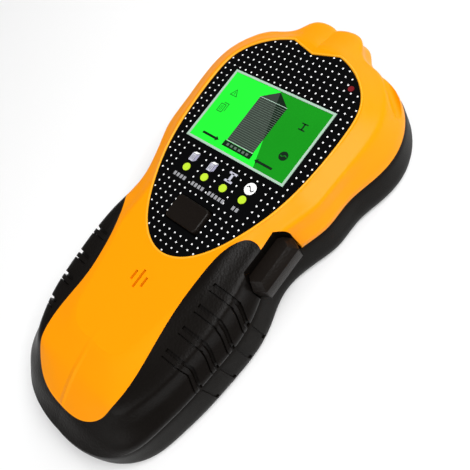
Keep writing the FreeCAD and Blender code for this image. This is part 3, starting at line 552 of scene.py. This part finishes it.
class LipOperator(bpy.types.Operator):
    """Run a rounded lip round the label's bed, in a lighter orange that paints a highlight on it
    """
    bl_idname = "stud_finder.lip"
    bl_label = "Label lip"

    def execute(self, context):
        choose(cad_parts["label_plate"])
        bpy.ops.object.duplicate()
        rim = bpy.context.object
        bpy.ops.object.mode_set(mode="EDIT")
        bpy.ops.mesh.select_mode(type="FACE")
        bpy.ops.mesh.select_all(action="SELECT")
        bpy.ops.mesh.remove_doubles(threshold=0.005 * MM)
        bpy.ops.mesh.select_all(action="DESELECT")
        bpy.ops.object.mode_set(mode="OBJECT")
        for face in rim.data.polygons:
            face.select = face.center.z < FACE - 0.01 * MM
        bpy.ops.object.mode_set(mode="EDIT")
        bpy.ops.mesh.delete(type="FACE")
        bpy.ops.mesh.select_all(action="SELECT")
        bpy.ops.mesh.region_to_loop()
        bpy.ops.mesh.select_all(action="INVERT")
        bpy.ops.mesh.delete(type="EDGE_FACE")
        bpy.ops.mesh.separate(type="LOOSE")
        bpy.ops.object.mode_set(mode="OBJECT")
        loops = sorted(bpy.context.selected_objects, key=lambda loop: loop.dimensions.y)
        choose(*loops[:-1])
        bpy.ops.object.delete()
        lip = choose(loops[-1])
        middle = (LABEL_LOW + LABEL_HIGH) / 2
        reach = (LABEL_HIGH - LABEL_LOW) / 2
        out = 0.30 * MM
        for vertex in lip.data.vertices:
            vertex.co.x += (vertex.co.x - middle.x) / reach.x * out
            vertex.co.y += (vertex.co.y - middle.y) / reach.y * out
        bpy.ops.object.convert(target="CURVE")
        lip = bpy.context.object
        lip.data.bevel_depth = 0.42 * MM
        lip.data.bevel_resolution = 2
        bpy.ops.object.convert(target="MESH")
        bpy.ops.object.shade_smooth_by_angle(angle=math.radians(50))
        lip = settle("label_lip", "lip")
        on_case(lip)
        return {"FINISHED"}


class PictogramsOperator(bpy.types.Operator):
    """Print the four mode pictograms and their plain bars by the lamps"""
    bl_idname = "stud_finder.pictograms"
    bl_label = "Mode pictograms"

    def execute(self, context):
        level = FACE + INK
        top = LAMP_ROW + 4.3 * MM
        pitch = sizes().lamp_pitch
        for index, step in enumerate(LAMP_STEPS[:2]):
            on_case(self.timber(step * pitch, top, level, index))
        beam = joined(
            "beam_pictogram",
            plate("beam_top", "grey_ink", 3.2 * MM, 0.8 * MM, 0.5 * pitch, top + 1.5 * MM, level),
            plate("beam_web", "grey_ink", 1.0 * MM, 3.0 * MM, 0.5 * pitch, top, level),
            plate("beam_foot", "grey_ink", 3.2 * MM, 0.8 * MM, 0.5 * pitch, top - 1.5 * MM,
                  level))
        on_case(beam)
        round_face = disc("wave_pictogram", "white_ink", 2.1 * MM, 1.5 * pitch, top, level, 40)
        on_case(round_face)
        wave = wave_line("wave_line", "label", 1.5 * pitch, top, level + INK, 3.1 * MM,
                         -0.62 * MM, 0.46 * MM)
        on_case(wave)
        bars = []
        wide, gap = 1.0 * MM, 0.5 * MM
        for step, count in zip(LAMP_STEPS, CAPTION_BARS):
            for number in range(count):
                x = step * pitch + (number - (count - 1) / 2) * (wide + gap)
                bars.append(plate("bar_%d_%d" % (step * 2, number), "caption_ink", wide,
                                  1.35 * MM, x, LAMP_ROW - 3.7 * MM, level))
        on_case(joined("caption_bars", *bars))
        return {"FINISHED"}

    def timber(self, x, y, level, index):
        """A short block of timber: front, top, side and three lines of grain."""
        name = "timber_pictogram_%d" % index
        wide, tall, slant = 1.9 * MM, 2.7 * MM, Vector((0.95 * MM, 0.75 * MM))
        left, low = x - 1.45 * MM, y - 1.8 * MM
        front = corner_polygon(name + "_front", "grey_ink", [
            (left, low), (left + wide, low), (left + wide, low + tall), (left, low + tall)],
            level)
        gap = 0.14 * MM
        top = corner_polygon(name + "_top", "white_ink", [
            (left, low + tall + gap), (left + wide, low + tall + gap),
            (left + wide + slant.x, low + tall + slant.y + gap),
            (left + slant.x, low + tall + slant.y + gap)], level)
        side = corner_polygon(name + "_side", "violet_ink", [
            (left + wide + gap, low), (left + wide + gap + slant.x, low + slant.y),
            (left + wide + gap + slant.x, low + tall + slant.y),
            (left + wide + gap, low + tall)], level)
        lines = [plate("%s_grain_%d" % (name, line), "label", 0.13 * MM, tall * reach,
                       left + wide * share, low + tall / 2, level + INK)
                 for line, (share, reach) in enumerate(((0.25, 0.7), (0.5, 0.5), (0.75, 0.75)))]
        return joined(name, front, top, side, *lines)


def wave_line(name, finish, x, y, z, wide, tall, thick):
    """One period of a sine as a flat ribbon."""
    steps = 18
    ribbon = plate(name, finish, wide, thick, x, y, z)
    choose(ribbon)
    bpy.ops.object.mode_set(mode="EDIT")
    bpy.ops.mesh.select_all(action="SELECT")
    bpy.ops.mesh.subdivide(number_cuts=steps)
    bpy.ops.object.mode_set(mode="OBJECT")
    for vertex in ribbon.data.vertices:
        vertex.co.y += tall * math.sin((vertex.co.x - x) / wide * 2 * math.pi)
    return ribbon


class ScreenOperator(bpy.types.Operator):
    """Light the display: a green field split into a painted glare and a painted shade, a level
    tower, arrows and small signs
    """
    bl_idname = "stud_finder.screen"
    bl_label = "Display"

    def execute(self, context):
        middle, level = SCREEN_MIDDLE, SCREEN
        wide, deep = WINDOW_HIGH.x - WINDOW_LOW.x, WINDOW_HIGH.y - WINDOW_LOW.y
        # The display face: painted glare on its left field, painted shade on its right field.
        glass = plate("display_face", "screen_glare_green", wide, deep, middle.x, middle.y, level)
        glass.data.materials.append(FINISHES["screen_shade_green"])
        raised(glass, 3 * INK)
        self.shade(glass, 1)
        choose(glass)
        bevel = glass.modifiers.new("edge", "BEVEL")
        bevel.width = INK
        bpy.ops.object.modifier_apply(modifier="edge")
        on_case(glass)
        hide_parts("display_window")
        ink = level + 4 * INK
        x, y = middle.x, middle.y
        tower = plate("tower_wall", "tower_glare", TOWER_WIDE, TOWER_TALL, x - 0.5 * MM,
                      y - 0.25 * MM, ink)
        roof = corner_polygon("tower_roof", "tower_glare", [
            (x - 6.3 * MM, y + 9.1 * MM), (x + 5.3 * MM, y + 9.1 * MM),
            (x - 0.6 * MM, y + 13.2 * MM)], ink)
        # The tower gets the same split: painted glare on the left, painted shade on the right.
        for piece in (tower, roof):
            piece.data.materials.append(FINISHES["tower_shade"])
            self.shade(piece, 1)
        pitch = 18.3 * MM / sizes().tower_lines
        lines = plate("tower_line", "tower_line", TOWER_WIDE, 0.16 * MM, x - 0.5 * MM,
                      y - 9.4 * MM, ink + INK)
        arrayed(lines, sizes().tower_lines, (0, pitch, 0))
        foot = plate("tower_foot", "lcd_ink", 12.4 * MM, 2.1 * MM, x - 0.6 * MM,
                     y - 10.8 * MM, ink)
        edge = plate("tower_edge", "bezel", TOWER_WIDE, 0.22 * MM, x - 0.5 * MM,
                     y - 9.55 * MM, ink + 2 * INK)
        cap = plate("tower_cap", "bezel", TOWER_WIDE, 0.22 * MM, x - 0.5 * MM,
                    y + 9.05 * MM, ink + 2 * INK)
        marks = arrayed(plate("foot_mark", "tower_line", 0.95 * MM, 0.9 * MM, x - 4.8 * MM,
                              y - 10.8 * MM, ink + INK), 6, (1.7 * MM, 0, 0))
        on_case(joined("level_tower", tower, roof, lines, foot, edge, cap, marks))
        on_case(joined("left_arrow", *self.arrow(x - 16.4 * MM, y - 10.9 * MM, ink, 1)))
        on_case(joined("right_arrow", *self.arrow(x + 14.6 * MM, y - 11.1 * MM, ink, -1)))
        on_case(self.warning(x - 15.7 * MM, y + 6.3 * MM, ink))
        on_case(self.block(x - 16.2 * MM, y - 0.2 * MM, ink))
        beam = joined(
            "screen_beam",
            plate("beam_a", "lcd_ink", 2.5 * MM, 0.42 * MM, x + 14.5 * MM, y + 6.9 * MM, ink),
            plate("beam_b", "lcd_ink", 0.55 * MM, 2.5 * MM, x + 14.5 * MM, y + 5.8 * MM, ink),
            plate("beam_c", "lcd_ink", 2.5 * MM, 0.42 * MM, x + 14.5 * MM, y + 4.6 * MM, ink))
        on_case(beam)
        spot = disc("screen_spot", "lcd_ink", 1.65 * MM, x + 15.1 * MM, y - 5.6 * MM, ink, 32)
        wave = wave_line("screen_wave", "screen_shade_green", x + 15.1 * MM, y - 5.6 * MM, ink + INK,
                         2.3 * MM, 0.3 * MM, 0.22 * MM)
        on_case(joined("screen_round", spot, wave))
        return {"FINISHED"}

    def shade(self, item, slot):
        """Split a flat piece along the edge of a painted glare and darken its right side, as
        painted shade.
        """
        high = Vector((SCREEN_MIDDLE.x - 0.7 * MM, SCREEN_MIDDLE.y + 13.4 * MM, 0))
        low = Vector((SCREEN_MIDDLE.x + 8.6 * MM, SCREEN_MIDDLE.y - 13.5 * MM, 0))
        across = Vector((high.y - low.y, low.x - high.x, 0)).normalized()
        choose(item)
        bpy.ops.object.mode_set(mode="EDIT")
        bpy.ops.mesh.select_all(action="SELECT")
        bpy.ops.mesh.bisect(plane_co=high, plane_no=across)
        bpy.ops.object.mode_set(mode="OBJECT")
        for face in item.data.polygons:
            if (face.center - high).dot(across) > 0:
                face.material_index = slot

    def arrow(self, x, y, z, way):
        """A level arrow that starts at x and points right (way 1) or left (way -1)."""
        shaft = plate("arrow_shaft", "lcd_ink", 6.0 * MM, 0.85 * MM, x + way * 3.0 * MM, y, z)
        head = corner_polygon("arrow_head", "lcd_ink", [
            (x + way * 6.0 * MM, y + 0.95 * MM), (x + way * 6.0 * MM, y - 0.95 * MM),
            (x + way * 7.4 * MM, y)], z)
        return shaft, head

    def warning(self, x, y, z):
        """A plain triangle outline with a short bar."""
        clear_selection()
        bpy.ops.mesh.primitive_circle_add(vertices=3, radius=1.9 * MM, fill_type="NGON",
                                          location=(x, y - 0.3 * MM, z))
        outline = settle("screen_triangle", "lcd_faint")
        choose(outline)
        bpy.ops.object.mode_set(mode="EDIT")
        bpy.ops.mesh.select_all(action="SELECT")
        bpy.ops.mesh.inset(thickness=0.28 * MM)
        bpy.ops.mesh.delete(type="FACE")
        bpy.ops.object.mode_set(mode="OBJECT")
        bar = plate("triangle_bar", "lcd_faint", 0.3 * MM, 1.0 * MM, x, y - 0.2 * MM, z)
        return joined("screen_triangle", outline, bar)

    def block(self, x, y, z):
        """The outline of a short block on end."""
        pieces = []
        for name, wide, deep, dx, dy in (
                ("left", 0.28, 3.0, -1.4, -0.3), ("right", 0.28, 3.0, 0.7, -0.3),
                ("foot", 2.1, 0.28, -0.35, -1.8), ("top", 2.1, 0.28, -0.35, 1.2),
                ("back", 0.28, 3.0, 1.5, 0.4), ("lid", 2.1, 0.28, 0.45, 1.9),
                ("line_a", 0.2, 2.0, -0.7, -0.3), ("line_b", 0.2, 2.0, -0.1, -0.3)):
            pieces.append(plate("block_" + name, "lcd_faint", wide * MM, deep * MM,
                                x + dx * MM, y + dy * MM, z))
        return joined("screen_block", *pieces)


class StageOperator(bpy.types.Operator):
    """Set the floor, the soft lights and the camera"""
    bl_idname = "stud_finder.stage"
    bl_label = "Studio"

    def execute(self, context):
        clear_selection()
        bpy.ops.mesh.primitive_plane_add(size=FLOOR_SIDE, location=(0, 0, -FLOOR_DROP))
        floor = settle("floor")
        finish = Finish("floor_paper")
        drift = finish.noise(3.0, 2.0)
        finish.colour(finish.blend(drift, (0.90, 0.90, 0.90), (0.93, 0.93, 0.93)))
        finish.roughness(drift * 0.1 + 0.7)
        floor.data.materials.append(finish.material)
        world = bpy.data.worlds.new("studio")
        world.use_nodes = True
        sky = world.node_tree.nodes["Background"]
        sky.inputs["Color"].default_value = (1, 1, 1, 1)
        sky.inputs["Strength"].default_value = WORLD_LIGHT
        context.scene.world = world
        context.scene.view_settings.view_transform = "Standard"
        for name, place, power in LIGHTS:
            self.light(name, place, power)
        lens = bpy.data.cameras.new("camera")
        camera = bpy.data.objects.new("camera", lens)
        context.scene.collection.objects.link(camera)
        lens.sensor_width, lens.lens = SENSOR, LENS
        lens.clip_start, lens.clip_end = 0.01, 20
        camera.matrix_world = CAMERA_PLACE
        context.scene.camera = camera
        return {"FINISHED"}

    def light(self, name, place, power):
        """A square lamp that looks at the middle of the case."""
        lamp = bpy.data.lights.new(name, "AREA")
        lamp.size, lamp.energy = LIGHT_SIDE, power
        item = bpy.data.objects.new(name, lamp)
        bpy.context.scene.collection.objects.link(item)
        item.location = place
        aim = (LIGHT_AIM - Vector(place)).to_track_quat("-Z", "Y")
        item.rotation_euler = aim.to_euler()


class StudFinderPanel(bpy.types.Panel):
    bl_idname = "STUDFINDER_PT_panel"
    bl_label = "Stud finder"
    bl_space_type = "VIEW_3D"
    bl_region_type = "UI"
    bl_category = "Stud finder"

    def draw(self, context):
        for name in StudFinderSizes.__annotations__:
            self.layout.prop(context.scene.stud_finder_sizes, name)
        for operator in OPERATORS:
            self.layout.operator(operator.bl_idname)


OPERATORS = (FinishesOperator, ButtonsOperator, LipOperator, DotsOperator, PictogramsOperator,
             ScreenOperator, StageOperator)


def register():
    for kind in (StudFinderSizes, *OPERATORS, StudFinderPanel):
        bpy.utils.register_class(kind)
    bpy.types.Scene.stud_finder_sizes = PointerProperty(type=StudFinderSizes)


def unregister():
    del bpy.types.Scene.stud_finder_sizes
    for kind in (StudFinderPanel, *reversed(OPERATORS), StudFinderSizes):
        bpy.utils.unregister_class(kind)


def main():
    register()
    bpy.ops.stud_finder.finishes()
    bpy.ops.stud_finder.buttons()
    bpy.ops.stud_finder.lip()
    bpy.ops.stud_finder.dots()
    bpy.ops.stud_finder.pictograms()
    bpy.ops.stud_finder.screen()
    bpy.ops.stud_finder.stage()


if __name__ == "__main__":
    main()
